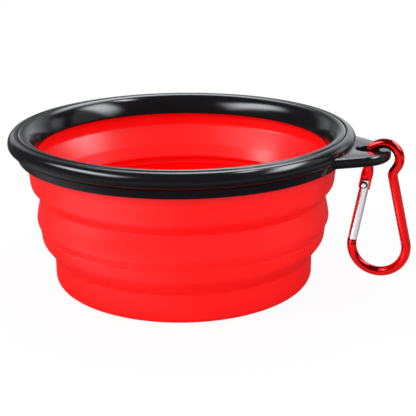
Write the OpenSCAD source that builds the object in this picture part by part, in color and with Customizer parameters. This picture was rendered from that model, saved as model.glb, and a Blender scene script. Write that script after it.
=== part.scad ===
// Collapsible silicone bowl with a plastic rim, a hanging tab and a spring-gate hook.
// The base rests on the plane z = 0 with its centre at the origin, and the tab points along +X.
// The bowl is drawn open. To fold it flat, the two folds turn inside out and its bands telescope.

/* [Silicone body] */
// Diameter of the base
base_d = 100; // [90:1:115]
// Height of the upright base wall, up to the lower fold
base_h = 11.3; // [9:0.1:14]
// Height of the lower fold, which turns inside out
lower_fold_h = 10.7; // [10:0.1:12]
// Height of the middle band, up to the upper fold
band_h = 12.5; // [11.5:0.1:14]
// Height of the upper fold, which turns inside out
upper_fold_h = 11.25; // [10.5:0.05:12.5]
// Height of the top band, up to the flange that the rim grips
top_band_h = 6.85; // [6.5:0.05:8]
// How far the lower fold steps out
lower_step = 4.8; // [4:0.1:5.6]
// How far the upper fold steps out
upper_step = 4.05; // [3.6:0.05:4.8]
// Thickness of the upright silicone walls
wall_t = 1.6; // [1.3:0.1:1.9]
// Height from the lower valley outside to the ridge inside
web_t = 2; // [1.6:0.1:2.4]
// Thickness of the floor
floor_t = 2; // [1.5:0.1:3]
// Rounding of the foot
foot_round = 2.8; // [1.5:0.1:3.5]
// Rounding between the floor and the wall, inside
inner_round = 3; // [1:0.1:4]
// Depth of the ring groove under the floor
groove_depth = 0.6; // [0.2:0.1:1]
// Width of the ring groove
groove_w = 3; // [2:0.5:6]
// Width of the flat ring outside the groove
foot_w = 6; // [4:0.5:12]

/* [Silicone beads] */
// How far the middle band bulges out past the lower wall
band_bulge = 1.15; // [0.9:0.05:1.6]
// How far the upper valley lies inside the lower wall
valley_in = 0.8; // [0.4:0.1:1.4]
// Step out at the crease under the middle band
crease_step = 0.7; // [0.3:0.05:0.8]
// Step out at the crease under the top band
top_step = 0.45; // [0.2:0.05:0.8]
// Height of each crease step
crease_h = 0.55; // [0.3:0.05:0.65]
// Height of the foot of the rib inside the middle band, from the crease under it
rib_up = 6.9; // [5:0.1:7]
// Height of the rib
rib_h = 3; // [2:0.1:3.2]
// How far the rib stands out of the wall
rib_out = 0.6; // [0.3:0.05:0.8]
// Height from the upper valley outside to the ridge inside
ridge_up = 3; // [2.4:0.1:3.4]
// Rounding of the ridges inside
ridge_round = 0.9; // [0.5:0.1:1.2]

/* [Clamped flange] */
// Thickness of the flange that the rim grips
flange_t = 1; // [0.8:0.1:1.4]
// Width of the flange
flange_w = 2.9; // [2.6:0.1:3.2]
// Thickness of the thin lip that shows between the rings
lip_t = 0.4; // [0.3:0.05:0.6]
// How far the lip reaches past the flange
lip_w = 1; // [0.7:0.1:1.1]
// Diameter of the weld pegs that hold the clamp ring
peg_d = 1.4; // [1:0.1:1.5]
// Height of the pegs over the flange
peg_up = 1.4; // [1:0.1:2]
// Number of weld pegs
peg_count = 12; // [8:1:24]

/* [Rim] */
// Distance from the silicone wall to the middle of the outer roll
roll_out = 3.5; // [3.4:0.1:4.5]
// Half width of the outer roll
roll_w = 3; // [2.4:0.1:4]
// Height of the roll's crown over its widest line
roll_h = 3.5; // [3:0.1:4.2]
// Depth of the roll under its widest line
roll_low_h = 2; // [1.6:0.1:2.6]
// Distance from the middle of the roll in to the seam
seam_in = 0.75; // [0.4:0.05:1]
// Width of the seam between the liner and the roll
seam_w = 0.3; // [0.2:0.05:0.5]
// Rounding of the seam's edges
seam_round = 0.35; // [0.2:0.05:0.5]
// Depth of the ledge that the liner is welded on, from the roll's crown
weld_h = 2.2; // [1.8:0.1:2.6]
// Width of that ledge
weld_w = 1.7; // [1.4:0.1:1.8]
// Height of the liner's crown over the roll's crown
crown_rise = 0.2; // [0:0.05:0.6]
// Width of the liner's flat crown
crown_w = 0.9; // [0.6:0.1:1.4]
// Width of the liner's funnel
funnel_w = 6; // [5.4:0.1:6.4]
// Height of the liner's funnel
funnel_h = 7.8; // [7:0.1:8.4]
// Thickness of the funnel's lower edge
funnel_edge = 2; // [1.6:0.1:2.2]
// Thickness of the clamp ring's plate
clamp_t = 1.4; // [1:0.1:1.8]
// Height of the clamp ring's skirt
skirt_h = 3.1; // [2.4:0.1:4]
// How far the skirt draws in towards its lower edge
skirt_draft = 0.85; // [0.4:0.05:1]
// Wall of the skirt
skirt_wall = 1.3; // [1:0.1:1.5]

/* [Hanging tab] */
// Reach of the tab's tip past the roll
tab_reach = 13.5; // [12.5:0.1:16]
// Radius of the tab's round tip
tab_round = 14.1; // [12:0.1:15]
// Half angle of the round tip, in degrees
tab_angle = 56; // [50:1:60]
// Thickness of the tab
tab_t = 3.8; // [3:0.1:4]
// Height of the tab's top face over the roll's widest line
tab_rise = 0.8; // [0.4:0.1:1]
// Rounding of the tab's edges
tab_edge = 1.4; // [0.9:0.1:1.5]
// Diameter of the hole for the hook
tab_hole_d = 8; // [7.6:0.1:8.4]
// Width of the bar between the hole and the tip
tab_bar = 4.3; // [3.6:0.1:4.4]
// Rounding of the hole's edges
hole_edge = 0.6; // [0.3:0.1:0.9]

/* [Hook] */
// Diameter of the hook's wire
wire_d = 3.4; // [3:0.1:3.6]
// Radius of the small arch, to the middle of the wire
arch_r = 5.4; // [5.3:0.1:6]
// Radius of the large bow, to the middle of the wire
bow_r = 9.85; // [9:0.05:10.5]
// Height from the middle of the bow to the middle of the arch
hook_h = 33; // [32:0.5:36]
// How far the middle of the bow lies inside the middle of the arch
bow_in = 0.2; // [0:0.1:0.6]
// Turn of the arch past its crown, in degrees
arch_turn = 120; // [112:1:125]
// Radius of the bend at the waist
waist_r = 2.4; // [2:0.1:3]
// Length of the straight stretch between the arch and the waist
waist_l = 3.05; // [2.6:0.05:3.4]
// Length of the round neck under the arch
neck_l = 4.8; // [4:0.1:5.2]
// Width of the flattened tongue that carries the gate
tongue_w = 4.2; // [3.8:0.1:4.4]
// Thickness of the tongue and of the latch
tongue_t = 1.3; // [1:0.1:1.4]
// Thickness of the shoulder between the neck and the tongue
shoulder_t = 2.8; // [2:0.1:3]
// Distance from the tongue's square end to the rivet
tongue_end = 1.9; // [1.8:0.05:2]
// Length of the latch at the free end
latch_l = 2.2; // [1.5:0.1:2.6]
// Width of the latch
latch_w = 2; // [1.6:0.1:2.4]

/* [Gate] */
// Height from the rivet to the middle of the arch
rivet_drop = 10; // [9.6:0.1:10.6]
// How far the rivet lies outside the neck's middle, towards the bowl
rivet_out = 0.95; // [0.6:0.05:1.2]
// Gap between the gate's free end and the hook
gate_gap = 0.3; // [0.2:0.05:0.5]
// Length of the gate past the rivet
gate_top = 1.7; // [1.6:0.1:2]
// Wall of the gate tube
gate_wall = 0.6; // [0.5:0.05:0.65]
// Length of the bore for the spring, under the rivet
gate_bore_l = 10.2; // [9.6:0.1:12]
// Diameter of the rivet's shank
rivet_d = 1.4; // [1.2:0.1:1.6]
// Diameter of the rivet's heads
rivet_head_d = 2.6; // [2.2:0.1:2.8]
// Height of a rivet head
rivet_head_h = 0.5; // [0.3:0.05:0.7]
// Length of the plunger
plunger_l = 2.5; // [2:0.1:3]
// Diameter of the spring's wire
spring_wire = 0.3; // [0.25:0.05:0.35]
// Number of turns of the spring
spring_turns = 6; // [4:1:8]

/* [Hidden] */
$fn = 96;

// Clearance between fitted pieces
fit = 0.1;
// Clearance of a pin in its hole, on the radius
pin_fit = 0.05;
// Overrun of every cut
over = 1;
// Points along each round stretch of an outline
steps = 10;
// Points along each rounded edge
edge_steps = 4;
// Rings in a turn of the spring, and sides of its wire
ring_count = 8;
side_count = 6;
// Sides of the hook's wire
wire_sides = 20;

// Outer radii of the moulding
base_r = base_d / 2;
lower_r = base_r + lower_step;
band_r = lower_r + band_bulge;
valley_r = lower_r - valley_in;
upper_r = valley_r + upper_step;
top_r = upper_r + top_step;

// Heights of the moulding
valley_1 = base_h;
crease_1 = valley_1 + lower_fold_h;
valley_2 = crease_1 + band_h;
crease_2 = valley_2 + upper_fold_h;
flange_z = crease_2 + top_band_h;
seat_z = flange_z + flange_t;
lip_z = flange_z + (flange_t - lip_t) / 2;
// Where the sloping underside of each fold ends, as shares of the fold's step and of its height
lower_under_shares = [0.92, 0.59];
upper_under_shares = [0.88, 0.42];
// Where the rounding over an underside begins and ends, as shares of the slope and of the face above it
under_round_shares = [0.8, 0.25];
// Depth of the groove at the lower crease, as a share of the wall
crease_in_share = 0.25;
// The slope inside the lower fold: its foot as a share of the wall, its top points as shares of the web
inner_foot_share = 0.2;
inner_top_shares = [0.3, 0.9];
// The stiff part of the middle band, as a share of its height: the rest bends with the upper fold
stiff_share = 0.584;
band_split = crease_1 + band_h * stiff_share;
// The band's widest line and its shoulder, as shares of its height, and how far in the shoulder lies
widest_share = 0.3;
shoulder_share = 0.61;
shoulder_in_share = 0.4;
// The hollow of the slope inside the upper fold, as shares of the fold's step and of the slope's height
hollow_in_share = 0.33;
hollow_down_share = 0.48;

// Places of the rim
roll_r = top_r + roll_out;
rim_r = roll_r + roll_w;
lip_top = lip_z + lip_t;
roll_z = lip_top + roll_low_h;
roll_top = roll_z + roll_h;
crown_z = roll_top + crown_rise;
flange_r = top_r + flange_w;
lip_r = flange_r + lip_w;
frame_seam_r = roll_r - seam_in + seam_w / 2;
liner_seam_r = roll_r - seam_in - seam_w / 2;
weld_z = roll_top - weld_h;
weld_r = frame_seam_r - weld_w;
peg_r = (weld_r + flange_r) / 2;
// Where the roll's underside starts, as a share of its half width
roll_foot_share = 0.2;
roll_foot_r = roll_r + roll_w * roll_foot_share;
crown_r = liner_seam_r - crown_w;
funnel_r = crown_r - funnel_w;
funnel_z = crown_z - funnel_h;
// Control point of the funnel's curve, as a share of its width
funnel_share = 0.6;
liner_back_r = funnel_r + funnel_edge;
clamp_z = flange_z - clamp_t;
skirt_z = flange_z - skirt_h;
clamp_r = lip_r + fit;

// Places of the tab
tab_tip = rim_r + tab_reach;
tab_mid = tab_tip - tab_round;
tab_top = roll_z + tab_rise;
tab_z = tab_top - tab_t;
tab_root = clamp_r + tab_edge;
hole_x = tab_tip - tab_bar - tab_hole_d / 2;

// Places of the hook, in its own plane: x outward and y up
wire_r = wire_d / 2;
// Height of the bar's top over the arch's middle, as a share of the arch's inner radius
hang_share = 0.81;
arch_x = tab_tip - tab_bar / 2;
arch_y = tab_top - (arch_r - wire_r) * hang_share;
bow_x = arch_x - bow_in;
bow_y = arch_y - hook_h;
neck_x = arch_x - arch_r;
neck_y = arch_y - neck_l;
// Start of the straight stretch under the arch, and the waist's corner
quarter = 90;
half_turn = 180;
arch_low = quarter - arch_turn;
stretch_dir = -arch_turn;
stretch_x = arch_x + arch_r * cos(arch_low);
stretch_y = arch_y + arch_r * sin(arch_low);
waist_x = stretch_x + waist_l * cos(stretch_dir);
waist_y = stretch_y + waist_l * sin(stretch_dir);
// The long leg runs from the waist's corner and touches the bow
leg_dist = norm([waist_x - bow_x, waist_y - bow_y]);
leg_lean = asin(bow_r / leg_dist) - atan2(waist_x - bow_x, waist_y - bow_y);
leg_l = sqrt(leg_dist * leg_dist - bow_r * bow_r);
waist_turn = leg_lean - quarter - stretch_dir;
waist_cut = waist_r * tan(waist_turn / 2);
// The gate runs from the rivet and touches the bow on its other side
rivet_x = neck_x - rivet_out;
rivet_y = arch_y - rivet_drop;
gate_dist = norm([rivet_x - bow_x, rivet_y - bow_y]);
gate_lean = asin(bow_r / gate_dist) - atan2(bow_x - rivet_x, rivet_y - bow_y);
nose_l = sqrt(gate_dist * gate_dist - bow_r * bow_r);
gate_l = nose_l - gate_gap;
slot_t = tongue_t + 2 * fit;
slot_drop = norm([tongue_end, tongue_w / 2]) + 2 * fit;
bore_r = wire_r - gate_wall;
plunger_drop = tongue_end + pin_fit;
spring_l = gate_bore_l - plunger_drop - plunger_l - 2 * pin_fit;
spring_r = bore_r - spring_wire / 2 - pin_fit;

// Points of an ellipse from angle a0 to a1
function arc_points(x, y, rx, ry, a0, a1, n) =
    [for (i = [0:n]) let (a = a0 + (a1 - a0) * i / n) [x + rx * cos(a), y + ry * sin(a)]];

// Points of a curve from p to q that is drawn towards c
function bend_points(p, c, q, n) =
    [for (i = [0:n]) let (t = i / n) p * pow(1 - t, 2) + c * 2 * t * (1 - t) + q * pow(t, 2)];

// Outline of a fold above its valley: a sloping underside, and a rounded edge to the upright face
function fold_points(valley, crease, shares) =
    let (edge = [valley[0] + (crease[0] - valley[0]) * shares[0],
                 valley[1] + (crease[1] - valley[1]) * shares[1]])
    concat([valley], bend_points(valley + (edge - valley) * under_round_shares[0], edge,
                                 edge + (crease - edge) * under_round_shares[1], edge_steps));

// Outline of the silicone moulding, outside, from the floor up to the clamped flange
function outer_points() = concat(
    [[0, 0], [base_r - foot_w - groove_w, 0], [base_r - foot_w - groove_w + groove_depth, groove_depth],
     [base_r - foot_w - groove_depth, groove_depth], [base_r - foot_w, 0]],
    arc_points(base_r - foot_round, foot_round, foot_round, foot_round, -quarter, 0, steps),
    fold_points([base_r, valley_1], [lower_r, crease_1], lower_under_shares),
    [[lower_r, crease_1 - crease_h], [lower_r - wall_t * crease_in_share, crease_1]],
    bend_points([lower_r + crease_step, crease_1 + crease_h * 4],
                [band_r, crease_1 + crease_h * 5],
                [band_r, crease_1 + band_h * widest_share], edge_steps),
    bend_points([band_r, crease_1 + band_h * widest_share],
                [band_r - band_bulge * shoulder_in_share, crease_1 + band_h * shoulder_share],
                [valley_r, valley_2], steps),
    fold_points([valley_r, valley_2], [upper_r, crease_2], upper_under_shares),
    [[upper_r, crease_2 - crease_h * 2], [top_r, crease_2 + crease_h / 2],
     [top_r, flange_z], [flange_r, flange_z], [flange_r, lip_z],
     [lip_r, lip_z], [lip_r, lip_top], [flange_r, lip_top], [flange_r, seat_z]]);

// Outline of the moulding, inside, from the flange down to the floor
function inner_points() = let (
    ridge_z = valley_2 + ridge_up,
    ridge_r = valley_r - wall_t,
    web_z = valley_1 + lower_fold_h * lower_under_shares[1],
    web_foot = [base_r - wall_t * inner_foot_share, valley_1 + web_t],
    web_top = [lower_r - wall_t, web_z + web_t * inner_top_shares[0]]
) concat(
    [[upper_r - wall_t, seat_z]],
    bend_points([upper_r - wall_t, crease_2],
                [upper_r - wall_t - upper_step * hollow_in_share,
                 crease_2 - (crease_2 - ridge_z) * hollow_down_share],
                [ridge_r + ridge_round / 4, ridge_z + ridge_round / 4], steps),
    bend_points([ridge_r + ridge_round / 4, ridge_z + ridge_round / 4], [ridge_r, ridge_z - ridge_round / 4],
                [ridge_r + fit, ridge_z - ridge_round], edge_steps),
    [[lower_r - wall_t, crease_1 + rib_up + rib_h],
     [lower_r - wall_t - rib_out, crease_1 + rib_up + rib_out],
     [lower_r - wall_t, crease_1 + rib_up]],
    bend_points([lower_r - wall_t, web_z + web_t * inner_top_shares[1]], web_top,
                web_foot + (web_top - web_foot) * under_round_shares[0], edge_steps),
    bend_points(web_foot, [base_r - wall_t, valley_1 + web_t - fit],
                [base_r - wall_t, valley_1 + web_t - ridge_round], edge_steps),
    arc_points(base_r - wall_t - inner_round, floor_t + inner_round, inner_round, inner_round,
               0, -quarter, steps),
    [[0, floor_t]]);

// One zone of the silicone moulding, from height z0 to z1
module silicone_zone(z0, z1) {
    color("red")
        rotate_extrude()
            intersection() {
                polygon(concat(outer_points(), inner_points()));
                translate([0, z0])
                    square([rim_r, z1 - z0]);
            }
}

module base_cup() {
    silicone_zone(0, valley_1);
}

module lower_fold() {
    silicone_zone(valley_1, crease_1);
}

module middle_band() {
    silicone_zone(crease_1, band_split);
}

module upper_fold() {
    silicone_zone(band_split, crease_2);
}

// Places one child at each weld peg
module at_pegs() {
    for (i = [0:peg_count - 1])
        rotate([0, 0, (i + 1 / 2) * 2 * half_turn / peg_count])
            translate([peg_r, 0, 0])
                children();
}

module top_band() {
    difference() {
        silicone_zone(crease_2, seat_z);
        at_pegs()
            translate([0, 0, flange_z - over])
                cylinder(h = flange_t + 2 * over, d = peg_d + 2 * fit);
    }
}

// Section of the frame: the outer roll, and the ledge that the liner is welded on
function frame_points() = concat(
    [[flange_r, seat_z], [flange_r, lip_top]],
    arc_points(roll_foot_r, roll_z, rim_r - roll_foot_r, roll_low_h, -quarter, 0, steps),
    arc_points(roll_r, roll_z, roll_w, roll_h, 0, quarter, 2 * steps),
    arc_points(frame_seam_r + seam_round, roll_top - seam_round, seam_round, seam_round,
               quarter, half_turn, edge_steps),
    [[frame_seam_r, weld_z], [weld_r, weld_z], [weld_r, seat_z]]);

// One layer of the tab's outline, drawn in by inset
function tab_points(inset) =
    let (r = tab_round - inset,
         x = tab_mid + r * cos(tab_angle),
         y = r * sin(tab_angle),
         back = (x - roll_r) / tan(tab_angle))
    concat([[roll_r, -y - back]],
           arc_points(tab_mid, 0, r, r, -tab_angle, tab_angle, 2 * steps),
           [[roll_r, y + back]]);

module tab_plate() {
    translate([0, 0, tab_z + tab_t / 2])
        hull()
            for (i = [0:edge_steps])
                let (a = quarter * i / edge_steps)
                linear_extrude(height = tab_t - 2 * tab_edge * (1 - sin(a)), center = true)
                    polygon(tab_points(tab_edge * (1 - cos(a))));
}

// The hole's cutter, which rounds its edges too
module hole_cutter() {
    r = tab_hole_d / 2;
    wide = r + hole_edge;
    translate([hole_x, 0, 0])
        rotate_extrude()
            polygon(concat(
                [[0, tab_z - over], [wide, tab_z - over]],
                arc_points(wide, tab_z + hole_edge, hole_edge, hole_edge, -quarter, -half_turn, edge_steps),
                arc_points(wide, tab_top - hole_edge, hole_edge, hole_edge, half_turn, quarter, edge_steps),
                [[wide, tab_top + over], [0, tab_top + over]]));
}

module rim_frame() {
    color([0.13, 0.13, 0.14])
        difference() {
            union() {
                rotate_extrude()
                    polygon(frame_points());
                difference() {
                    tab_plate();
                    translate([0, 0, tab_z - over])
                        cylinder(h = tab_t + 2 * over, r = tab_root);
                }
            }
            hole_cutter();
            at_pegs()
                translate([0, 0, seat_z - over])
                    cylinder(h = peg_up + fit + over, d = peg_d + 2 * fit);
        }
}

// Section of the liner: the funnel that runs from the crown down inside the silicone wall
function liner_points() = concat(
    [[liner_seam_r, weld_z]],
    arc_points(liner_seam_r - seam_round, crown_z - crown_rise - seam_round, seam_round, seam_round,
               0, quarter / 2, edge_steps),
    bend_points([crown_r, crown_z], [crown_r - funnel_w * funnel_share, crown_z],
                [funnel_r, funnel_z + funnel_edge / 4], 2 * steps),
    bend_points([funnel_r, funnel_z + funnel_edge / 4], [funnel_r, funnel_z],
                [funnel_r + funnel_edge / 2, funnel_z], edge_steps),
    bend_points([funnel_r + funnel_edge / 2, funnel_z], [liner_back_r, funnel_z],
                [liner_back_r, funnel_z + funnel_edge / 2], edge_steps),
    [[liner_back_r, seat_z], [weld_r - fit, seat_z], [weld_r - fit, weld_z]]);

module rim_liner() {
    color([0.2, 0.2, 0.21])
        rotate_extrude()
            polygon(liner_points());
}

// Section of the clamp ring: a plate under the flange, and the skirt that shows
function clamp_points() =
    let (skirt_r = clamp_r - skirt_draft)
    concat(
        [[top_r + fit, flange_z], [flange_r + fit, flange_z], [flange_r + fit, lip_z],
         [clamp_r - fit * 2, lip_z], [clamp_r, lip_z - fit * 2]],
        arc_points(skirt_r - skirt_wall / 2, skirt_z + skirt_wall / 2, skirt_wall / 2, skirt_wall / 2,
                   0, -half_turn, 2 * edge_steps),
        [[clamp_r - skirt_wall, clamp_z], [top_r + fit, clamp_z]]);

module rim_clamp() {
    color([0.16, 0.16, 0.17])
        union() {
            rotate_extrude()
                polygon(clamp_points());
            at_pegs()
                translate([0, 0, clamp_z + clamp_t / 2])
                    cylinder(h = seat_z + peg_up - clamp_z - clamp_t / 2, d = peg_d);
        }
}

// Turns the plane of a drawing, x outward and y up, into the upright plane of the hook
module hook_plane() {
    rotate([quarter, 0, 0])
        children();
}

// Rings along an arc of the wire from angle a0 to a1, each with its place and its direction
function arc_rings(x, y, r, a0, a1, n) =
    [for (i = [0:n]) let (a = a0 + (a1 - a0) * i / n)
        [x + r * cos(a), y + r * sin(a), a + (a1 > a0 ? quarter : -quarter)]];

// The hook's wire: neck, arch, waist, long leg and bow
function wire_rings() =
    let (bend_x = waist_x - waist_cut * cos(stretch_dir) - waist_r * sin(stretch_dir),
         bend_y = waist_y - waist_cut * sin(stretch_dir) + waist_r * cos(stretch_dir))
    concat(
        [[neck_x, neck_y, quarter]],
        arc_rings(arch_x, arch_y, arch_r, half_turn, arch_low, 2 * steps),
        arc_rings(bend_x, bend_y, waist_r, stretch_dir - quarter, stretch_dir - quarter + waist_turn,
                  edge_steps + 1),
        arc_rings(bow_x, bow_y, bow_r, leg_lean, -half_turn - gate_lean, 3 * steps));

// A round tube through rings, closed at both ends
module ring_tube(rings) {
    last = len(rings) - 1;
    polyhedron(
        points = [for (g = rings, k = [0:wire_sides - 1])
            let (b = k * 2 * half_turn / wire_sides)
            [g[0] - wire_r * cos(b) * sin(g[2]), g[1] + wire_r * cos(b) * cos(g[2]), wire_r * sin(b)]],
        faces = concat(
            [[for (k = [0:wire_sides - 1]) k]],
            [for (i = [0:last - 1], k = [0:wire_sides - 1], h = [0, 1])
                let (p = i * wire_sides + k,
                     q = i * wire_sides + (k + 1) % wire_sides)
                h == 0 ? [p, p + wire_sides, q] : [q, p + wire_sides, q + wire_sides]],
            [[for (k = [0:wire_sides - 1]) last * wire_sides + wire_sides - 1 - k]]));
}

// Puts a drawing at the rivet, with y along the gate
module gate_place() {
    hook_plane()
        translate([rivet_x, rivet_y, 0])
            rotate([0, 0, -gate_lean])
                children();
}

// An upright plate from height y0 up to the neck, with a round upper end
module neck_plate(y0, t) {
    neck_up = rivet_drop - neck_l;
    linear_extrude(height = t, center = true) {
        translate([-tongue_w / 2, y0])
            square([tongue_w, neck_up - y0]);
        translate([0, neck_up])
            circle(d = tongue_w);
    }
}

// The flattened end of the wire: a shoulder that clears the gate's turn, and the tongue in its slot
module tongue() {
    neck_plate(norm([gate_top, wire_r]) + gate_gap / 2, shoulder_t);
    difference() {
        neck_plate(-tongue_end, tongue_t);
        translate([0, 0, -tongue_t])
            cylinder(h = 2 * tongue_t, d = rivet_d + 2 * pin_fit);
    }
}

// The latch that the gate's free end closes on
module latch() {
    linear_extrude(height = tongue_t, center = true) {
        translate([-latch_w / 2, -nose_l - latch_w / 2])
            square([latch_w, latch_l]);
        translate([0, latch_l - nose_l - latch_w / 2])
            circle(d = latch_w);
    }
}

module hook_body() {
    color([0.8, 0.05, 0.07])
        union() {
            hook_plane()
                ring_tube(wire_rings());
            gate_place() {
                tongue();
                latch();
            }
        }
}

// A round bar along the gate, from y0 to y1
module gate_bar(y0, y1, d) {
    translate([0, y0, 0])
        rotate([-quarter, 0, 0])
            cylinder(h = y1 - y0, d = d);
}

module gate_tube() {
    latch_top = latch_l - nose_l + 2 * fit;
    color("silver")
        gate_place()
            difference() {
                gate_bar(-gate_l, gate_top, wire_d);
                gate_bar(-gate_bore_l, -plunger_drop + over, 2 * bore_r);
                translate([-wire_d, -slot_drop, -slot_t / 2])
                    cube([2 * wire_d, slot_drop + gate_top + over, slot_t]);
                translate([-wire_d, -gate_l - over, -slot_t / 2])
                    cube([2 * wire_d, latch_top + gate_l + over, slot_t]);
                translate([0, 0, -wire_d])
                    cylinder(h = 2 * wire_d, d = rivet_d + 2 * pin_fit);
            }
}

// A low round head, from height z0 on
module rivet_head(z0) {
    rotate_extrude()
        polygon(concat([[0, z0]],
                       arc_points(0, z0, rivet_head_d / 2, rivet_head_h, 0, quarter, steps)));
}

module gate_rivet() {
    head_z = wire_r + pin_fit;
    color("silver")
        gate_place()
            union() {
                translate([0, 0, -head_z])
                    cylinder(h = 2 * head_z, d = rivet_d);
                rivet_head(head_z);
                mirror([0, 0, 1])
                    rivet_head(head_z);
            }
}

module spring_plunger() {
    color([0.7, 0.7, 0.72])
        gate_place()
            gate_bar(-plunger_drop - plunger_l, -plunger_drop, 2 * (bore_r - pin_fit));
}

module gate_spring() {
    rings = spring_turns * ring_count;
    pitch = (spring_l - spring_wire) / rings;
    color([0.6, 0.6, 0.62])
        gate_place()
            translate([0, spring_wire / 2 - gate_bore_l + pin_fit, 0])
                polyhedron(
                    points = [for (i = [0:rings], k = [0:side_count - 1])
                        let (a = i * 2 * half_turn / ring_count,
                             b = k * 2 * half_turn / side_count,
                             r = spring_r + spring_wire / 2 * cos(b))
                        [r * cos(a), i * pitch + spring_wire / 2 * sin(b), r * sin(a)]],
                    faces = concat(
                        [[for (k = [0:side_count - 1]) k]],
                        [for (i = [0:rings - 1], k = [0:side_count - 1], h = [0, 1])
                            let (p = i * side_count + k,
                                 q = i * side_count + (k + 1) % side_count)
                            h == 0 ? [p, p + side_count, q] : [q, p + side_count, q + side_count]],
                        [[for (k = [0:side_count - 1]) rings * side_count + side_count - 1 - k]]));
}

base_cup();
lower_fold();
middle_band();
upper_fold();
top_band();
rim_frame();
rim_liner();
rim_clamp();
hook_body();
gate_tube();
gate_rivet();
gate_spring();
spring_plunger();
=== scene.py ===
"""Dresses the collapsible bowl: red silicone, glossy black rim, anodised hook with a satin gate."""
import math

import bpy
from mathutils import Matrix, Quaternion, Vector


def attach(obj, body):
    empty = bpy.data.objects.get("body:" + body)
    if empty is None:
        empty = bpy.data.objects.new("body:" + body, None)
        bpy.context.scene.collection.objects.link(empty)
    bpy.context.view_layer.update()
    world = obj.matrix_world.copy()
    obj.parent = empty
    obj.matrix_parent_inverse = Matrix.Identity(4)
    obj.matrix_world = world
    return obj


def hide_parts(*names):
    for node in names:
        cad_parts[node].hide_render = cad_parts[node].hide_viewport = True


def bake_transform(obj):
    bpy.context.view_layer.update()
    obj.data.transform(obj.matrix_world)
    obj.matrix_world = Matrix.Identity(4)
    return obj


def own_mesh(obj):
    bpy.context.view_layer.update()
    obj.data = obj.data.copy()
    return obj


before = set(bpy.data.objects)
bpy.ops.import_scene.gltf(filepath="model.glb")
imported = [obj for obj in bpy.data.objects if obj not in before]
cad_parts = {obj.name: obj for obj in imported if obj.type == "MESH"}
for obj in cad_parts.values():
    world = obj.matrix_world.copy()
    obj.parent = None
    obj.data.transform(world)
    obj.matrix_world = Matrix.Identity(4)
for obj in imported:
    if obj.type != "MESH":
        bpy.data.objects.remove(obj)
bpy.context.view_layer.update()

MM = 0.001
RIGHT = math.pi / 2
TURN = 2 * math.pi


def between(p, q, share):
    """The point that lies a share of the way from p to q."""
    return (p[0] + (q[0] - p[0]) * share, p[1] + (q[1] - p[1]) * share)


def line(p, q, count):
    """Evenly spaced points from p to q, without p."""
    return [between(p, q, i / count) for i in range(1, count + 1)]


def upright(r, *heights):
    """Points of an upright wall."""
    return [(r, z) for z in heights]


def arc(x, y, rx, ry, a0, a1, count):
    """Points of an ellipse from angle a0 to a1."""
    turns = [a0 + (a1 - a0) * i / count for i in range(count + 1)]
    return [(x + rx * math.cos(a), y + ry * math.sin(a)) for a in turns]


def bend(p, pull, q, count):
    """Points of a curve from p to q that is drawn towards pull."""
    return [tuple(p[k] * (1 - t) ** 2 + pull[k] * 2 * t * (1 - t) + q[k] * t * t for k in (0, 1))
            for t in (i / count for i in range(count + 1))]


def tangent(start, centre, radius):
    """The lean, and the length, of a line from start down to where it touches a circle below it."""
    far = math.dist(start, centre)
    aside = math.atan2(abs(start[0] - centre[0]), start[1] - centre[1])
    return math.asin(radius / far) - aside, math.sqrt(far * far - radius * radius)


# Silicone moulding, in millimetres: outer radii, then heights, then thicknesses and widths
BASE_R = 50
LOWER_R = BASE_R + 4.8
BAND_R = LOWER_R + 1.15
VALLEY_R = LOWER_R - 0.8
UPPER_R = VALLEY_R + 4.05
TOP_R = UPPER_R + 0.45
VALLEY_1 = 11.3
CREASE_1 = VALLEY_1 + 10.7
VALLEY_2 = CREASE_1 + 12.5
CREASE_2 = VALLEY_2 + 11.25
FLANGE_Z = CREASE_2 + 6.85
SEAT_Z = FLANGE_Z + 1
WALL, WEB, FLOOR, FOOT_ROUND, INNER_ROUND = 1.6, 2, 2, 2.8, 3
FOOT_W, GROOVE_W, GROOVE_UP = 6, 3, 0.6

# Where the sloping underside of each fold ends, and the groove at the lower crease
LOWER_EDGE = (BASE_R + 0.92 * (LOWER_R - BASE_R), VALLEY_1 + 0.59 * (CREASE_1 - VALLEY_1))
UPPER_EDGE = (VALLEY_R + 0.88 * (UPPER_R - VALLEY_R), VALLEY_2 + 0.42 * (CREASE_2 - VALLEY_2))
CREASE_R = LOWER_R - 0.15

# Inside of the moulding: the top band, the ridge under the upper slope, the ledge and the rib below it
INSIDE_R = UPPER_R - WALL + 0.12
RIDGE = (VALLEY_R - WALL + 0.2, VALLEY_2 + 3.6)
LEDGE = (VALLEY_R - WALL - 1.5, VALLEY_2 - 1)
RIB_Z = CREASE_1 + 6.9

# Flange that the rim rings grip, and the heights between which each fold turns inside out
FLANGE_R = TOP_R + 2.9
LIP_R = FLANGE_R + 0.5
LIP_Z = FLANGE_Z + 0.3
LIP_TOP = LIP_Z + 0.4
LOWER_BEND, UPPER_BEND = (13.4, 20.8), (29.3, CREASE_2)

# Rim rings
ROLL_R, ROLL_W, ROLL_UP, ROLL_DOWN = TOP_R + 3.5, 3, 3.5, 2
RIM_R = ROLL_R + ROLL_W
ROLL_Z = LIP_TOP + ROLL_DOWN
ROLL_TOP = ROLL_Z + ROLL_UP
SEAM_R, SEAM_HALF, SEAM_ROUND = ROLL_R - 0.75, 0.15, 0.35
WELD_R, WELD_Z = SEAM_R + SEAM_HALF - 1.7, ROLL_TOP - 2.2
CROWN_R, CROWN_Z = SEAM_R - SEAM_HALF - 0.9, ROLL_TOP + 0.2
FUNNEL_W, FUNNEL_EDGE = 6, 2
FUNNEL_R, FUNNEL_Z = CROWN_R - FUNNEL_W, CROWN_Z - 7.8
FIT = 0.1

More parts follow.
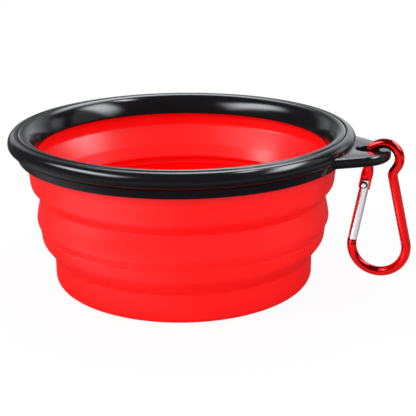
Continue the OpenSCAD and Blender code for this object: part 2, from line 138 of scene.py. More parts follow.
# Hanging tab
TAB_TIP, TAB_ROUND, TAB_ANGLE = RIM_R + 13.5, 14.1, math.radians(56)
TAB_TOP, TAB_T, TAB_EDGE, TAB_BAR = ROLL_Z + 0.8, 3.8, 1.4, 4.3
HOLE_R, HOLE_EDGE = 4, 0.6
HOLE_X = TAB_TIP - TAB_BAR - HOLE_R

# Hook, in its own upright plane: x outward and z up
WIRE_R, ARCH_R, BOW_R, WAIST_R = 1.7, 5.4, 9.85, 2.4
ARCH = (TAB_TIP - TAB_BAR / 2, TAB_TOP - 0.81 * (ARCH_R - WIRE_R))
BOW = (ARCH[0] - 0.2, ARCH[1] - 33)
NECK_X, NECK_Z = ARCH[0] - ARCH_R, 48
RIVET, RIVET_R = (NECK_X - 0.95, ARCH[1] - 10), 1.3
STRETCH, STRETCH_L = math.radians(-120), 3.05
WAIST = (ARCH[0] + ARCH_R * math.cos(RIGHT + STRETCH) + STRETCH_L * math.cos(STRETCH),
         ARCH[1] + ARCH_R * math.sin(RIGHT + STRETCH) + STRETCH_L * math.sin(STRETCH))
LEG_LEAN = tangent(WAIST, BOW, BOW_R)[0]
GATE_LEAN, NOSE_L = tangent(RIVET, BOW, BOW_R)
TONGUE_W, TONGUE_T, TONGUE_END, SHOULDER_T = 4.2, 1.3, 1.9, 2.8
LATCH_L, LATCH_W = 2.2, 2

# Coil in the gate, from the floor of the bore up to the plunger, measured from the rivet
GATE_BORE, PLUNGER_L, PIN_FIT = 10.2, 2.5, 0.05
COIL_R, COIL_WIRE, COIL_TURNS = 0.9, 0.15, 6
COIL_LOW = PIN_FIT + COIL_WIRE - GATE_BORE
COIL_HIGH = -(TONGUE_END + PLUNGER_L + 2 * PIN_FIT + COIL_WIRE)

# Points round the moulding, the rim rings, the hook's wire and the coil, and along each turn of the coil
MOULDING_SIDES, RIM_SIDES, WIRE_SIDES, COIL_SIDES, COIL_STEPS = 224, 256, 32, 8, 24

# Colours of each finish, darker and lighter, and then the painted shade of the dark lines at the latch and
# round the rivet's head, and the white of the lights
SILICONE_REDS = ((0.95, 0.003, 0.0037, 1), (0.97, 0.0042, 0.005, 1))
PLASTIC_BLACKS = ((0.005, 0.005, 0.0057, 1), (0.0066, 0.0066, 0.0075, 1))
ANODISED_REDS = ((0.72, 0.0015, 0.002, 1), (0.8, 0.0025, 0.0035, 1))
GATE_GREYS = ((0.6, 0.6, 0.62, 1), (0.72, 0.72, 0.735, 1))
RIVET_GREYS = ((0.66, 0.66, 0.68, 1), (0.8, 0.8, 0.82, 1))
STEEL_GREYS = ((0.5, 0.5, 0.52, 1), (0.66, 0.66, 0.68, 1))
# Painted shade: the dark of the gap at the latch, and of the ring where the rivet's head meets the gate
PAINTED_GAP_SHADE, PAINTED_RIVET_SHADE = (0.03, 0.0005, 0.0008, 1), (0.012, 0.01, 0.01, 1)
CARD_WHITE, SKY_WHITE = (0.92, 0.96, 1, 1), (0.92, 0.97, 1, 1)

# Stage and camera, in metres: where lights face, the backdrop's direction, how far lamps and cards stand
AIM, BACKDROP_WAY = Vector((0, 0, 0.04)), (-0.34, 0.94, 0)
FLOOR_HALF, LAMP_FAR, CARD_FAR = 6, 1.2, 1.25
CAMERA_PLACE, LENS, SENSOR = (0.12575, -0.3159, 0.14061), 79.87, 36
HEADING, PITCH, ROLL = math.radians(-20.1), math.radians(18.63), math.radians(-0.24)

# Groups of pieces that the cards of light show to, and the groups of each slot
MATT, SHINY, RIM, HOOK = [bpy.data.collections.new(name + "_pieces")
                          for name in ("silicone", "glossy", "rim", "hook")]
LIT_WITH = {"silicone": (MATT,), "rim_plastic": (SHINY, RIM), "anodised": (SHINY, HOOK),
            "gate_metal": (SHINY, HOOK), "rivet": (SHINY, HOOK), "spring_steel": (SHINY, HOOK)}


def new_piece(name, points, faces, body, slot, smooth, *stands_for):
    """A smooth mesh from points in millimetres, that rides on a body, if any, and stands for CAD nodes."""
    mesh = bpy.data.meshes.new(name)
    mesh.from_pydata([tuple(v * MM for v in p) for p in points], [], faces)
    mesh.validate()
    mesh.polygons.foreach_set("use_smooth", [True] * len(mesh.polygons))
    mesh.set_sharp_from_angle(angle=math.radians(smooth))
    piece = bpy.data.objects.new(name, mesh)
    bpy.context.scene.collection.objects.link(piece)
    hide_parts(*stands_for)
    if body:
        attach(piece, body)
    return dress(piece, slot)


def turned(outline, sides):
    """Points and faces of a closed outline turned about the upright axis; it runs outside upwards."""
    clean = [p for i, p in enumerate(outline) if math.dist(p, outline[i - 1]) > 1e-4]
    points, rows = [], []
    for r, z in clean:
        count = sides if r > 1e-6 else 1
        rows.append([len(points) + k for k in range(count)])
        points += [(r * math.cos(TURN * k / sides), r * math.sin(TURN * k / sides), z)
                   for k in range(count)]
    faces = []
    for low, high in zip(rows, rows[1:] + rows[:1]):
        if len(low) == 1 and len(high) == 1:
            continue
        for k in range(sides):
            m = (k + 1) % sides
            ring = [low[k % len(low)], low[m % len(low)], high[m % len(high)], high[k % len(high)]]
            faces.append([v for i, v in enumerate(ring) if v not in ring[:i]])
    return points, faces


def tube_faces(rings, sides, closed=False):
    """Quads between rings of points that follow one another; closed, the last ring meets the first."""
    pairs = [(i * sides, (i + 1) % rings * sides) for i in range(rings if closed else rings - 1)]
    return [[a + k, a + (k + 1) % sides, b + (k + 1) % sides, b + k]
            for a, b in pairs for k in range(sides)]


class Socket:
    """A node's output; sums and products of it add Math nodes."""

    def __init__(self, tree, out):
        self.tree, self.out = tree, out

    def maths(self, operation, a, b=0.0):
        return self.tree.node("Math", {"operation": operation}, {0: a, 1: b})

    def __add__(self, other):
        return self.maths("ADD", self, other)

    __radd__ = __add__

    def __sub__(self, other):
        return self.maths("SUBTRACT", self, other)

    def __rsub__(self, other):
        return self.maths("SUBTRACT", other, self)

    def __mul__(self, other):
        return self.maths("MULTIPLY", self, other)

    __rmul__ = __mul__

    def most(self, other):
        return self.maths("MAXIMUM", self, other)

    def size(self):
        """The value without its sign."""
        return self.maths("ABSOLUTE", self)

    def root(self):
        return self.maths("SQRT", self)

    def step(self, low, high):
        """Rises smoothly from 0 at low to 1 at high."""
        return self.tree.node("MapRange", {"interpolation_type": "SMOOTHSTEP"},
                              {"Value": self, "From Min": low, "From Max": high})


class Tree:
    """The nodes of one material or of the world."""

    def __init__(self, owner, output="OutputMaterial"):
        owner.use_nodes = True
        self.nodes, self.links = owner.node_tree.nodes, owner.node_tree.links
        self.nodes.clear()
        self.output = output

    def node(self, kind, settings=None, values=None, out=0):
        """Adds a node, sets what it is first and then its sockets, and gives one output."""
        made = self.nodes.new("ShaderNode" + kind)
        for key, value in (settings or {}).items():
            setattr(made, key, value)
        for key, value in (values or {}).items():
            if isinstance(value, Socket):
                self.links.new(value.out, made.inputs[key])
            else:
                made.inputs[key].default_value = value
        return Socket(self, made.outputs[out]) if len(made.outputs) else None

    def surface(self, shader):
        self.node(self.output, {}, {"Surface": shader})

    def mixed(self, factor, a, b):
        """Colour a, going over to b with the factor."""
        return self.node("Mix", {"data_type": "RGBA"}, {"Factor": factor, 6: a, 7: b}, 2)

    def place(self):
        return self.node("TexCoord", {}, {}, "Object")

    def along(self, axis, vector=None):
        """One of the three parts of a vector, or of the place on the surface."""
        return self.node("SeparateXYZ", {}, {"Vector": vector or self.place()}, axis)

    def ray(self, kind):
        """1 where the light path is of a kind, such as Camera."""
        return self.node("LightPath", {}, {}, f"Is {kind} Ray")

    def noise(self, size, detail=2.0, stretch=(1, 1, 1)):
        """Cloudy noise with patches of about size millimetres, longer by each stretch."""
        place = self.node("Mapping", {}, {"Vector": self.place(), "Scale": tuple(1 / s for s in stretch)})
        return self.node("TexNoise", {}, {"Vector": place, "Scale": 1 / (size * MM), "Detail": detail})

    def bump(self, height, depth):
        """A bump of about depth millimetres."""
        return self.node("Bump", {}, {"Height": height, "Distance": depth * MM})


def finish(name, make):
    """A material whose nodes make() lays out."""
    material = bpy.data.materials.new(name)
    tree = Tree(material)
    tree.surface(make(tree))
    return material


def grey(level):
    return (level, level, level, 1)


def red_silicone(tree):
    cloud = tree.noise(18, 3)
    grain = tree.noise(0.45, 3)
    return tree.node("BsdfPrincipled", {}, {
        "Base Color": tree.mixed(cloud.step(0.35, 0.7), *SILICONE_REDS), "Roughness": 0.3 + 0.1 * grain,
        "IOR": 1.38, "Specular IOR Level": 0.3, "Normal": tree.bump(grain + 0.6 * cloud, 0.02)})


def black_plastic(tree):
    peel = tree.noise(2.2)
    haze = tree.noise(14)
    return tree.node("BsdfPrincipled", {}, {
        "Base Color": tree.mixed(haze, *PLASTIC_BLACKS), "Roughness": 0.1 + 0.06 * haze,
        "IOR": 1.42, "Specular IOR Level": 0.15, "Normal": tree.bump(peel, 0.003)})


def red_anodised(tree):
    """Red anodised aluminium, with painted shade: dark lines in the gap at the end of the bow where it
    takes the gate.
    """
    grain = tree.noise(0.6, 3)
    cloud = tree.noise(6)
    x, z = tree.along("X") * (1 / MM), tree.along("Z") * (1 / MM)
    drop = (RIVET[0] - x) * math.sin(GATE_LEAN) + (RIVET[1] - z) * math.cos(GATE_LEAN) - NOSE_L
    # Painted shade: a dark line in the gap at the end of the bow, and one more along the latch's lower
    # edge, on the gate's side only
    edge = drop.step(-0.3, 0.0) - 0.7 * drop.step(0.15, 0.45)
    latch_shade_line = 0.7 * drop.step(1.0, 1.3) - drop.step(1.5, 1.8)
    gate_side = 1 - x.step(RIVET[0] - 0.5, RIVET[0])
    red = tree.mixed(cloud, *ANODISED_REDS)
    return tree.node("BsdfPrincipled", {}, {
        "Base Color": tree.mixed((edge + latch_shade_line) * gate_side, red, PAINTED_GAP_SHADE), "Metallic": 1.0,
        "Roughness": 0.09 + 0.05 * grain, "Coat Weight": 0.18, "Coat Roughness": 0.04,
        "Normal": tree.bump(grain, 0.0003)})


def satin_aluminium(tree):
    brush = tree.noise(0.25, 3, (1, 1, 30))
    return tree.node("BsdfPrincipled", {}, {
        "Base Color": tree.mixed(brush, *GATE_GREYS), "Metallic": 1.0,
        "Roughness": 0.14 + 0.12 * brush, "Normal": tree.bump(brush, 0.006)})


def rivet_aluminium(tree):
    """The rivet's domed head, with a painted shade line where it meets the gate."""
    x, z = tree.along("X") - RIVET[0] * MM, tree.along("Z") - RIVET[1] * MM
    # Painted shade: a dark ring at the edge of the head, where it meets the gate
    rim = (x * x + z * z).root().step(0.52 * RIVET_R * MM, 0.68 * RIVET_R * MM)
    brush = tree.noise(0.3)
    return tree.node("BsdfPrincipled", {}, {
        "Base Color": tree.mixed(rim, tree.mixed(brush, *RIVET_GREYS), PAINTED_RIVET_SHADE), "Metallic": 1.0,
        "Roughness": 0.16 + 0.1 * brush, "Normal": tree.bump(brush, 0.003)})


def drawn_steel(tree):
    brush = tree.noise(0.2)
    return tree.node("BsdfPrincipled", {}, {
        "Base Color": tree.mixed(brush, *STEEL_GREYS), "Metallic": 1.0,
        "Roughness": 0.22 + 0.1 * brush, "Normal": tree.bump(brush, 0.003)})


FINISHES = {slot: finish(make.__name__, make) for slot, make in (
    ("silicone", red_silicone), ("rim_plastic", black_plastic), ("anodised", red_anodised),
    ("gate_metal", satin_aluminium), ("spring_steel", drawn_steel), ("rivet", rivet_aluminium))}


def dress(piece, slot):
    """Gives a piece its finish and puts it in reach of the cards that are meant for it."""
    for group in LIT_WITH[slot]:
        group.objects.link(piece)
    piece.data.materials.clear()
    piece.data.materials.append(FINISHES[slot])
    return piece


def fold_face(valley, edge, top):
    """A fold's sloping underside, the rounded edge over it and the face up to its top."""
    slope = line(valley, edge, 12)[:10]
    face = between(edge, top, 0.3)
    return slope + bend(slope[-1], edge, face, 8) + line(face, top, 4)


def lower_outer():
    """Outside of the base and the lower fold."""
    foot_r = BASE_R - FOOT_W
    groove_r = foot_r - GROOVE_W
    wall_top, top = (BASE_R, VALLEY_1 - 0.35), (LOWER_R, CREASE_1 - 0.8)
    return ([(0, 0), (groove_r, 0), (groove_r + GROOVE_UP, GROOVE_UP), (foot_r - GROOVE_UP, GROOVE_UP),
             (foot_r, 0)]
            + arc(BASE_R - FOOT_ROUND, FOOT_ROUND, FOOT_ROUND, FOOT_ROUND, -RIGHT, 0, 14)
            + line((BASE_R, FOOT_ROUND), wall_top, 5)[:4]
            + bend(wall_top, (BASE_R, VALLEY_1), (BASE_R + 0.2, VALLEY_1 + 0.3), 4)
            + fold_face((BASE_R, VALLEY_1), LOWER_EDGE, top)
            + bend(top, (LOWER_R, CREASE_1 - 0.25), (CREASE_R, CREASE_1), 5))


def lower_inner():
    """Inside of the lower fold and the base, downwards."""
    wall_r, base_r = LOWER_R - WALL, BASE_R - WALL
    foot, top = (BASE_R - 0.2 * WALL, VALLEY_1 + WEB), (wall_r, LOWER_EDGE[1] + 0.3 * WEB)
    slope, wall_top, round_r = between(foot, top, 0.8), (base_r, foot[1] - 0.9), base_r - INNER_ROUND
    return (upright(wall_r, CREASE_1, CREASE_1 - 0.8)
            + bend((wall_r, LOWER_EDGE[1] + 0.9 * WEB), top, slope, 8)
            + line(slope, foot, 8)[:7]
            + bend(foot, (base_r, foot[1] - 0.15), wall_top, 5)
            + line(wall_top, (base_r, FLOOR + INNER_ROUND), 4)[:3]
            + arc(round_r, FLOOR + INNER_ROUND, INNER_ROUND, INNER_ROUND, 0, -RIGHT, 12)
            + line((round_r, FLOOR), (0, FLOOR), 8))


def upper_outer():
    """Outside of the middle band, the upper fold and the clamped flange."""
    crease, under = (CREASE_R, CREASE_1), (LOWER_R + 0.75, CREASE_1 + 2.25)
    widest, shoulder = (BAND_R, CREASE_1 + 4), (BAND_R - 0.46, CREASE_1 + 7.625)
    valley_foot = (VALLEY_R + 0.12, VALLEY_2 - 0.5)
    top, shelf = (UPPER_R, CREASE_2 - 1.1), (TOP_R, CREASE_2 + 0.65)
    return ([crease] + line(crease, under, 5)[:4]
            + bend(under, (BAND_R - 0.02, CREASE_1 + 2.9), widest, 10)
            + bend(widest, shoulder, valley_foot, 18)
            + bend(valley_foot, (VALLEY_R, VALLEY_2), (VALLEY_R + 0.3, VALLEY_2 + 0.4), 6)[1:]
            + fold_face((VALLEY_R, VALLEY_2), UPPER_EDGE, top)[1:]
            + bend(top, (UPPER_R + 0.05, CREASE_2 - 0.9), (UPPER_R + 0.17, CREASE_2 - 0.65), 3)
            + bend((TOP_R - 0.1, CREASE_2 + 0.05), (TOP_R, CREASE_2 + 0.25), shelf, 4)
            + line(shelf, (TOP_R, FLANGE_Z), 3)
            + upright(FLANGE_R, FLANGE_Z, LIP_Z) + upright(LIP_R, LIP_Z, LIP_TOP)
            + upright(FLANGE_R, LIP_TOP, SEAT_Z))


def upper_inner():
    """Inside of the top band, the upper fold and the middle band, downwards."""
    band_r, below = LOWER_R - WALL, (RIDGE[0] - 0.26, RIDGE[1] - 0.7)
    seat, rib_foot = (INSIDE_R, SEAT_Z), (band_r, RIB_Z - 0.1)
    corner, slope = (INSIDE_R, CREASE_2 + 0.55), (INSIDE_R - 0.25, CREASE_2 - 0.35)
    return ([seat] + line(seat, corner, 4)
            + bend(corner, (INSIDE_R - 0.02, CREASE_2 + 0.15), slope, 5)[1:]
            + bend(slope, (INSIDE_R - 2.17, CREASE_2 - 3.85), RIDGE, 26)[1:]
            + bend(RIDGE, (RIDGE[0] - 0.1, RIDGE[1] - 0.25), below, 5)[1:]
            + line(below, (below[0] - 1.02, below[1] - 2.76), 3)
            + bend(LEDGE, (LEDGE[0] - 0.24, LEDGE[1] - 0.6), (LEDGE[0] + 0.05, LEDGE[1] - 0.9), 6)
            + bend((band_r - 0.3, RIB_Z + 3), (band_r, RIB_Z + 2.95), (band_r - 0.05, RIB_Z + 2.7), 4)
            + bend((band_r - 0.55, RIB_Z + 0.8), (band_r - 0.62, RIB_Z + 0.5),
                   (band_r - 0.5, RIB_Z + 0.35), 4)
            + [rib_foot] + line(rib_foot, (band_r, CREASE_1), 4))


def make_silicone():
    """The moulding in two pieces that meet at the lower crease."""
    lower = new_piece("silicone_lower", *turned(lower_outer() + lower_inner(), MOULDING_SIDES), None,
                      "silicone", 38, "base_cup", "lower_fold")
    LOWER_BEND[0] * MM
    LOWER_BEND[1] * MM
    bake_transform(lower)
    upper = new_piece("silicone_upper", *turned(upper_outer() + upper_inner(), MOULDING_SIDES), None,
                      "silicone", 38, "middle_band", "upper_fold", "top_band")
    UPPER_BEND[0] * MM
    UPPER_BEND[1] * MM
    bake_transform(upper)


def roll_outline():
    """Section of the outer roll and of the ledge that the funnel is welded on."""
    foot, seam_r = ROLL_R + 0.2 * ROLL_W, SEAM_R + SEAM_HALF
    return (upright(FLANGE_R, SEAT_Z, LIP_TOP)
            + arc(foot, ROLL_Z, RIM_R - foot, ROLL_DOWN, -RIGHT, 0, 14)
            + arc(ROLL_R, ROLL_Z, ROLL_W, ROLL_UP, 0, RIGHT, 28)
            + arc(seam_r + SEAM_ROUND, ROLL_TOP - SEAM_ROUND, SEAM_ROUND, SEAM_ROUND, RIGHT, 2 * RIGHT, 6)
            + [(seam_r, WELD_Z)] + upright(WELD_R, WELD_Z, SEAT_Z))


def funnel_outline():
    """Section of the funnel ring, from the seam over the crown to its lower edge."""
    seam_r, back_r = SEAM_R - SEAM_HALF, FUNNEL_R + FUNNEL_EDGE
    edge, half = (FUNNEL_R, FUNNEL_Z + FUNNEL_EDGE / 4), FUNNEL_EDGE / 2
    return ([(seam_r, WELD_Z)]
            + arc(seam_r - SEAM_ROUND, ROLL_TOP - SEAM_ROUND, SEAM_ROUND, SEAM_ROUND, 0, RIGHT / 2, 4)
            + bend((CROWN_R, CROWN_Z), (CROWN_R - 0.6 * FUNNEL_W, CROWN_Z), edge, 30)
            + bend(edge, (FUNNEL_R, FUNNEL_Z), (FUNNEL_R + half, FUNNEL_Z), 6)
            + bend((FUNNEL_R + half, FUNNEL_Z), (back_r, FUNNEL_Z), (back_r, FUNNEL_Z + half), 6)
            + [(back_r, SEAT_Z)] + upright(WELD_R - FIT, SEAT_Z, WELD_Z))


def tab_layer(inset):
    """One layer of the tab's outline, drawn in by inset, with its points in step on every layer."""
    r, mid = TAB_ROUND - inset, TAB_TIP - TAB_ROUND
    x, y = mid + r * math.cos(TAB_ANGLE), r * math.sin(TAB_ANGLE)
    root = y + (x - ROLL_R) / math.tan(TAB_ANGLE)
    side = [(ROLL_R, -root)] + line((ROLL_R, -root), (x, -y), 12)[:11]
    return (side + arc(mid, 0, r, r, -TAB_ANGLE, TAB_ANGLE, 48) + [(a, -b) for a, b in side[::-1]]
            + line((ROLL_R, root), (ROLL_R, -root), 24)[:23])


def make_tab():
    """The hanging tab: its outline and its hole are lofted into one closed ring with round edges."""
    turns = [RIGHT * i / 6 for i in range(7)]
    middle = 2 * TAB_TOP - TAB_T
    rim = [(TAB_EDGE * (1 - math.cos(a)), TAB_TOP - TAB_EDGE * (1 - math.sin(a))) for a in turns]
    rim = [(inset, middle - z) for inset, z in rim[::-1]] + rim
    loops = [[(x, y, z) for x, y in tab_layer(inset)] for inset, z in rim]
    around = [math.atan2(y, x - HOLE_X) for x, y in tab_layer(0)]
    hole = [(HOLE_R + HOLE_EDGE * (1 - math.cos(a)), TAB_TOP - HOLE_EDGE * (1 - math.sin(a)))
            for a in turns]
    hole = hole[::-1] + [(r, middle - z) for r, z in hole]
    loops += [[(HOLE_X + r * math.cos(a), r * math.sin(a), z) for a in around] for r, z in hole]
    faces = tube_faces(len(loops), len(around), closed=True)
    new_piece("hanging_tab", [p for loop in loops for p in loop], faces, "rim", "rim_plastic", 40,
              "rim_frame")


def make_rim():
    new_piece("rim_roll", *turned(roll_outline(), RIM_SIDES), "rim", "rim_plastic", 50, "rim_frame")
    new_piece("rim_funnel", *turned(funnel_outline(), RIM_SIDES), "rim", "rim_plastic", 50, "rim_liner")
    make_tab()


def flat_ring(drop, wide, thick):
    """A ring of the hook's wire on the gate's axis, a drop below the rivet."""
    return (RIVET[0] - drop * math.sin(GATE_LEAN), RIVET[1] - drop * math.cos(GATE_LEAN),
            RIGHT - GATE_LEAN, wide, thick)


def swept_rings(x, z, r, a0, a1, count):
    """Rings of round wire along an arc."""
    side = math.copysign(RIGHT, a1 - a0)
    return [(x + r * math.cos(a), z + r * math.sin(a), a + side, WIRE_R, WIRE_R)
            for a in (a0 + (a1 - a0) * i / count for i in range(count + 1))]


def tongue_rings():
    """The flattened tongue that the gate turns on, its shoulder and the neck that goes round above it."""
    wide, thick, shoulder = TONGUE_W / 2, TONGUE_T / 2, SHOULDER_T / 2
    flats = ((TONGUE_END, wide - 0.3, thick - 0.25), (TONGUE_END - 0.1, wide - 0.1, thick - 0.08),
             (TONGUE_END - 0.35, wide, thick), (1, wide, thick), (0, wide, thick), (-1.2, wide, thick),
             (-2.45, wide, thick), (-2.5, wide - 0.1, shoulder - 0.25), (-2.62, wide, shoulder - 0.06),
             (-2.9, wide + 0.03, shoulder), (-3.6, wide + 0.03, shoulder), (-4.3, wide, shoulder))
    neck = [(NECK_X - 0.17, NECK_Z, RIGHT - GATE_LEAN / 3, wide - 0.06, shoulder + 0.04),
            (NECK_X - 0.05, NECK_Z + 0.7, RIGHT, wide - 0.2, shoulder + 0.14),
            (NECK_X, NECK_Z + 1.4, RIGHT, WIRE_R + 0.05, WIRE_R - 0.03),
            (NECK_X, NECK_Z + 2.1, RIGHT, WIRE_R, WIRE_R),
            (NECK_X, NECK_Z + 3.5, RIGHT, WIRE_R, WIRE_R)]
    return [flat_ring(*row) for row in flats] + neck


def wire_rings():
    """The round wire: the arch, the waist, the straight leg and the bow."""
    turn = LEG_LEAN - RIGHT - STRETCH
    cut = WAIST_R * math.tan(turn / 2)
    waist_x = WAIST[0] - cut * math.cos(STRETCH) - WAIST_R * math.sin(STRETCH)
    waist_z = WAIST[1] - cut * math.sin(STRETCH) + WAIST_R * math.cos(STRETCH)
    return (swept_rings(*ARCH, ARCH_R, 2 * RIGHT, RIGHT + STRETCH, 44)
            + swept_rings(waist_x, waist_z, WAIST_R, STRETCH - RIGHT, STRETCH - RIGHT + turn, 12)
            + swept_rings(*BOW, BOW_R, LEG_LEAN, -2 * RIGHT - GATE_LEAN, 64))


def latch_rings():
    """The latch at the end of the bow, which the gate's slot takes."""
    wide, thick = LATCH_W / 2, TONGUE_T / 2
    tip = NOSE_L + wide - LATCH_L
    return [flat_ring(*row) for row in (
        (NOSE_L - 0.1, 1.35, 1.2), (NOSE_L - 0.35, 1.15, 0.85), (NOSE_L - 0.6, wide, thick),
        (tip - 0.3, wide, thick), (tip - 0.75, wide - 0.15, thick - 0.05),
        (tip - 0.95, wide - 0.45, thick - 0.2))]


def make_hook():
    """The hook is one wire, from the tongue to the latch, with rings of equal count."""
    points = []
    for x, z, heading, wide, thick in tongue_rings() + wire_rings() + latch_rings():
        square = 0.55 + 0.45 * min(1, thick / wide)
        for k in range(WIRE_SIDES):
            c, s = math.cos(TURN * k / WIRE_SIDES), math.sin(TURN * k / WIRE_SIDES)
            across = wide * math.copysign(abs(c) ** square, c)
            points.append((x - across * math.sin(heading), thick * math.copysign(abs(s) ** square, s),
                           z + across * math.cos(heading)))
    faces = [face[::-1] for face in tube_faces(len(points) // WIRE_SIDES, WIRE_SIDES)]
    faces += [list(range(WIRE_SIDES)), [len(points) - 1 - k for k in range(WIRE_SIDES)]]
    new_piece("hook_wire", points, faces, "hook", "anodised", 50, "hook_body")


def make_coil():
    """The spring in the gate, drawn at rest; in the real hook the plunger presses it together as it comes
    down.
    """
    lean, count = (math.sin(GATE_LEAN), math.cos(GATE_LEAN)), COIL_TURNS * COIL_STEPS
    points = []
    for i in range(count + 1):
        a = TURN * i / COIL_STEPS
        for k in range(COIL_SIDES):
            b = TURN * k / COIL_SIDES
            r = COIL_R + COIL_WIRE * math.cos(b)
            up = COIL_LOW + (COIL_HIGH - COIL_LOW) * i / count + COIL_WIRE * math.sin(b)
            across = r * math.cos(a)
            points.append((RIVET[0] + up * lean[0] + across * lean[1], -r * math.sin(a),
                           RIVET[1] + up * lean[1] - across * lean[0]))
    faces = tube_faces(count + 1, COIL_SIDES)
    faces += [list(range(COIL_SIDES))[::-1], [count * COIL_SIDES + k for k in range(COIL_SIDES)]]
    coil = new_piece("coil", points, faces, "gate", "spring_steel", 50, "gate_spring")
    foot = tuple(v * MM for v in (RIVET[0] + COIL_LOW * lean[0], 0, RIVET[1] + COIL_LOW * lean[1]))
    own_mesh(coil)


def facing_back(tree, direction):
    """How far a direction points to the backdrop behind the bowl, from -1 to 1."""
    return tree.node("VectorMath", {"operation": "DOT_PRODUCT"}, {0: direction, 1: BACKDROP_WAY}, "Value")


def sheet(name, half_x, half_y):
    """A flat rectangle in metres, level until it is turned."""
    mesh = bpy.data.meshes.new(name)
    corners = [(-half_x, -half_y, 0), (half_x, -half_y, 0), (half_x, half_y, 0), (-half_x, half_y, 0)]
    mesh.from_pydata(corners, [], [(0, 1, 2, 3)])
    flat = bpy.data.objects.new(name, mesh)
    bpy.context.scene.collection.objects.link(flat)
    return flat


def pale_floor(tree):
    """White to the camera and in most of what gleams, and lit like paper for the rest."""
    seen = tree.ray("Camera").most(tree.ray("Transmission"))
    away = tree.node("VectorMath", {"operation": "LENGTH"}, {0: tree.place()}, "Value")
    way = tree.node("VectorMath", {"operation": "NORMALIZE"}, {0: tree.place()}, "Vector")
    behind = facing_back(tree, way)
    white = ((1 - behind.step(0.0, 0.4)) * 0.95 + behind.step(0.85, 0.96) * 0.25) * away.step(0.12, 0.4)
    lit = tree.node("BsdfDiffuse", {}, {"Color": grey(0.75)})
    glow = tree.node("Emission", {}, {"Color": tree.mixed(seen.most(white), grey(0.0), grey(1.0))})
    return tree.node("MixShader", {}, {0: seen * 0.93 + tree.ray("Glossy") * 0.9, 1: lit, 2: glow})


def make_stage():
    """A pale floor that shows white and keeps a soft shadow."""
    floor = sheet("floor", FLOOR_HALF, FLOOR_HALF)
    floor.data.materials.append(finish("pale_floor", pale_floor))


def toward(azimuth, elevation, distance):
    """A place seen from the bowl: azimuth clockwise from +Y, in degrees, and metres away."""
    a, e = math.radians(azimuth), math.radians(elevation)
    return Vector((math.sin(a) * math.cos(e), math.cos(a) * math.cos(e), math.sin(e))) * distance + AIM


def face_bowl(thing, place):
    thing.location = place
    thing.rotation_mode = "QUATERNION"
    thing.rotation_quaternion = (AIM - place).to_track_quat("-Z", "Y")


def soft_box(name, azimuth, elevation, size, watts, shown_to=None):
    """A rectangular studio lamp that faces the bowl."""
    light = bpy.data.lights.new(name, "AREA")
    light.shape, light.size, light.size_y, light.energy = "RECTANGLE", size[0], size[1], watts
    lamp = bpy.data.objects.new(name, light)
    bpy.context.scene.collection.objects.link(lamp)
    if shown_to:
        lamp.light_linking.receiver_collection = shown_to
    face_bowl(lamp, toward(azimuth, elevation, LAMP_FAR))


def glow_card(name, place, size, strength, shown_to, tilt=0, flat=False):
    """A card that shows to some pieces only, as a soft reflection that is bright in its middle."""
    w, h = size[0] / 2, size[1] / 2
    card = sheet(name, w, h)
    if flat:
        card.location = Vector(place)
    else:
        face_bowl(card, toward(*place, CARD_FAR))
        card.rotation_quaternion = card.rotation_quaternion @ Quaternion((0, 0, 1), math.radians(tilt))
    card.visible_camera = card.visible_diffuse = card.visible_shadow = card.visible_transmission = False
    card.light_linking.receiver_collection = shown_to

    def shine(tree):
        x, y = tree.along("X").size(), tree.along("Y").size()
        fade = (1 - x.step(w * 0.2, w)) * (1 - y.step(h * 0.3, h))
        light = tree.node("Emission", {}, {
            "Color": tree.mixed(fade, grey(0.0), CARD_WHITE), "Strength": strength})
        return tree.node("AddShader", {}, {0: light, 1: tree.node("BsdfTransparent")})

    card.data.materials.append(finish(name + "_light", shine))


def make_sky():
    """Even light all round, which what gleams sees as a white backdrop and a dim room."""
    world = bpy.data.worlds.new("studio")
    bpy.context.scene.world = world
    tree = Tree(world, "OutputWorld")
    way = tree.node("TexCoord", {}, {}, "Generated")
    up = tree.along("Z", way)
    behind = facing_back(tree, way)
    front = (1 - behind.step(0.0, 0.3)) * (1 - up.step(0.02, 0.25))
    white = (behind + 0.55 * up).step(0.88, 1.05)
    glossy = tree.ray("Glossy")
    lit = 1.16 + 0.2 * up
    level = lit + (0.12 + 0.55 * front + 0.3 * white - lit) * glossy
    plain = tree.ray("Camera").most(tree.ray("Transmission"))
    tree.surface(tree.node("Background", {}, {"Color": tree.mixed(glossy, grey(1.0), SKY_WHITE),
                                              "Strength": level + (1 - level) * plain}))


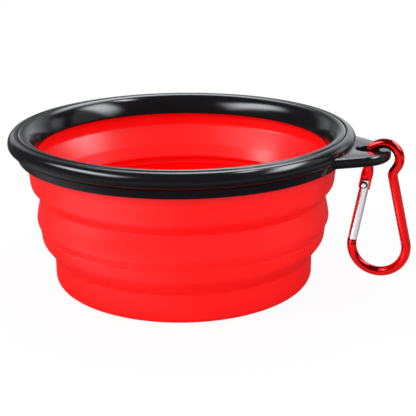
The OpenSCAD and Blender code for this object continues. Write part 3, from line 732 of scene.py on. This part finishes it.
def make_lamps():
    """Two soft boxes, and the cards whose reflections the photograph shows."""
    soft_box("key_left", -138, 42, (0.75, 0.5), 5)
    soft_box("key_right", 66, 32, (0.6, 0.7), 2, SHINY)
    glow_card("left_strip", (-128, 42), (1.5, 0.5), 44, SHINY)
    glow_card("right_strip", (74, 43), (1.4, 0.5), 42, SHINY, 35)
    glow_card("tab_strip", (60, 68), (0.5, 0.2), 60, RIM)
    glow_card("crown_strip", (-10, 54), (1.3, 0.9), 19, RIM)
    glow_card("rim_backdrop", (2, 16), (1.3, 1.1), 1.3, RIM)
    glow_card("rim_left", (-50, 16), (0.6, 0.8), 1.0, RIM)
    glow_card("tab_backdrop", (32, 18), (0.5, 0.5), 2.4, RIM)
    glow_card("skirt_left", (-0.15, -0.13, 0.0012), (0.32, 0.26), 1.3, RIM, flat=True)
    glow_card("sheen_left", (-0.055, -0.11, 0.0005), (0.22, 0.13), 2.6, MATT, flat=True)
    glow_card("inside_left", (-122, 19), (0.36, 0.22), 110, MATT)
    glow_card("inside_right", (60, 32), (1.0, 0.35), 36, MATT)
    glow_card("hook_floor", (0.1, -0.11, 0.001), (0.3, 0.42), 1.0, HOOK, flat=True)
    glow_card("hook_streak", (0.03, -0.055, 0.0015), (0.06, 0.05), 11, HOOK, flat=True)
    glow_card("bow_left", (-88, 30), (0.3, 0.35), 36, HOOK)
    glow_card("bow_right", (38, 40), (0.3, 0.4), 18, HOOK)
    glow_card("arch_left", (-57, 28), (0.25, 0.4), 16, HOOK)


def make_camera():
    """The photograph's view: heading clockwise from +Y, pitch down, and a slight roll."""
    ahead = Vector((math.cos(PITCH) * math.sin(HEADING), math.cos(PITCH) * math.cos(HEADING),
                    -math.sin(PITCH)))
    right = Vector((math.cos(HEADING), -math.sin(HEADING), 0))
    up = right.cross(ahead)
    right, up = (right * math.cos(ROLL) + up * math.sin(ROLL), up * math.cos(ROLL) - right * math.sin(ROLL))
    view = bpy.data.cameras.new("camera")
    view.lens, view.sensor_width = LENS, SENSOR
    view.clip_start, view.clip_end = 0.01, 50
    camera = bpy.data.objects.new("camera", view)
    bpy.context.scene.collection.objects.link(camera)
    camera.matrix_world = Matrix([(right[k], up[k], -ahead[k], CAMERA_PLACE[k]) for k in range(3)]
                                 + [(0, 0, 0, 1)])
    bpy.context.scene.camera = camera


make_camera()
make_stage()
make_sky()
make_lamps()
make_silicone()
make_rim()
make_hook()
make_coil()
for name, slot in (("rim_clamp", "rim_plastic"), ("gate_tube", "gate_metal"), ("gate_rivet", "rivet"),
                   ("spring_plunger", "spring_steel")):
    dress(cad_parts[name], slot)

bpy.context.scene.view_settings.view_transform = "Standard"
